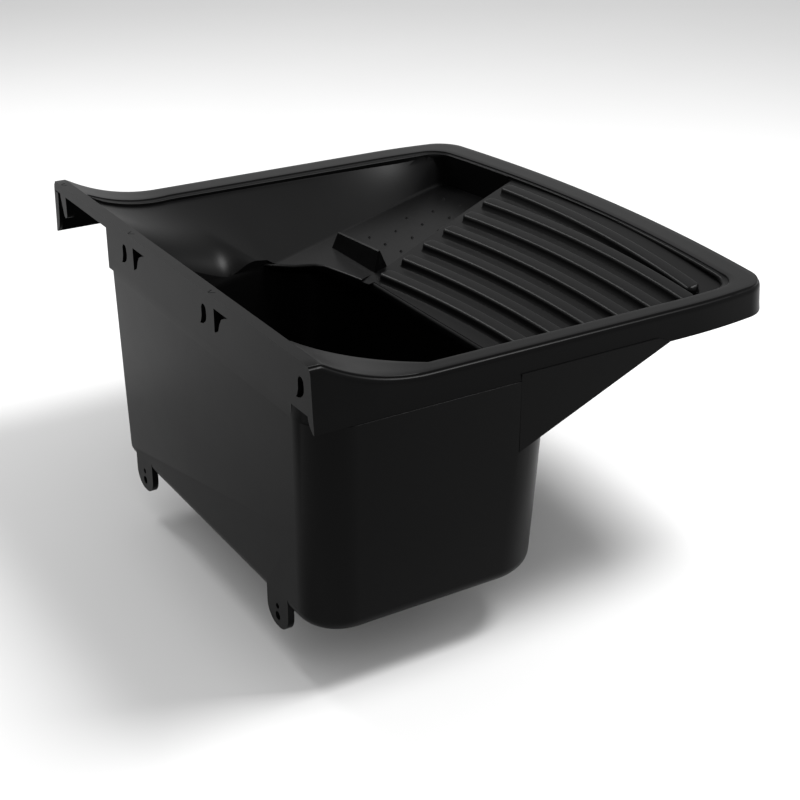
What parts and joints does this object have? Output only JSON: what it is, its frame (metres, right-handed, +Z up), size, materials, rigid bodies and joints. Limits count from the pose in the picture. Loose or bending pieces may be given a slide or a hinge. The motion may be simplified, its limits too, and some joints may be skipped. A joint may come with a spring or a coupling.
{
  "type": "wall-hung laundry tub",
  "caption": "Wall-hung laundry tub in one black moulding with a washboard, a soap dish, hook slots and lower screw tabs, and a screwed waste with a lift-out plug.",
  "frame": {"origin": "middle of the rear plate on the wall plane, level with the flat rim", "axes": "+Y points out of the rear face into the wall, -Y is the front, +Z up, +X towards the soap dish side"},
  "size_m": [0.5105, 0.458, 0.27],
  "materials": {
    "shell_plastic": "satin black polypropylene with a fine moulded grain",
    "waste_plastic": "off-white satin polypropylene",
    "grate_steel": "stainless, brushed",
    "gasket_rubber": "matt black rubber",
    "plug_rubber": "matt black rubber"
  },
  "bodies": {
    "tub": {"tub_shell": "shell_plastic", "flange_gasket": "gasket_rubber", "waste_body": "waste_plastic", "strainer_grate": "grate_steel", "strainer_screw": "grate_steel", "under_gasket": "gasket_rubber", "slip_washer": "waste_plastic", "back_nut": "waste_plastic"},
    "plug": {"plug": "plug_rubber"}
  },
  "joints": [
    {"name": "plug_lift", "type": "slide", "parent": "tub", "child": "plug", "axis": [0, 0, 1], "range_m": [0, 0.12]}
  ]
}
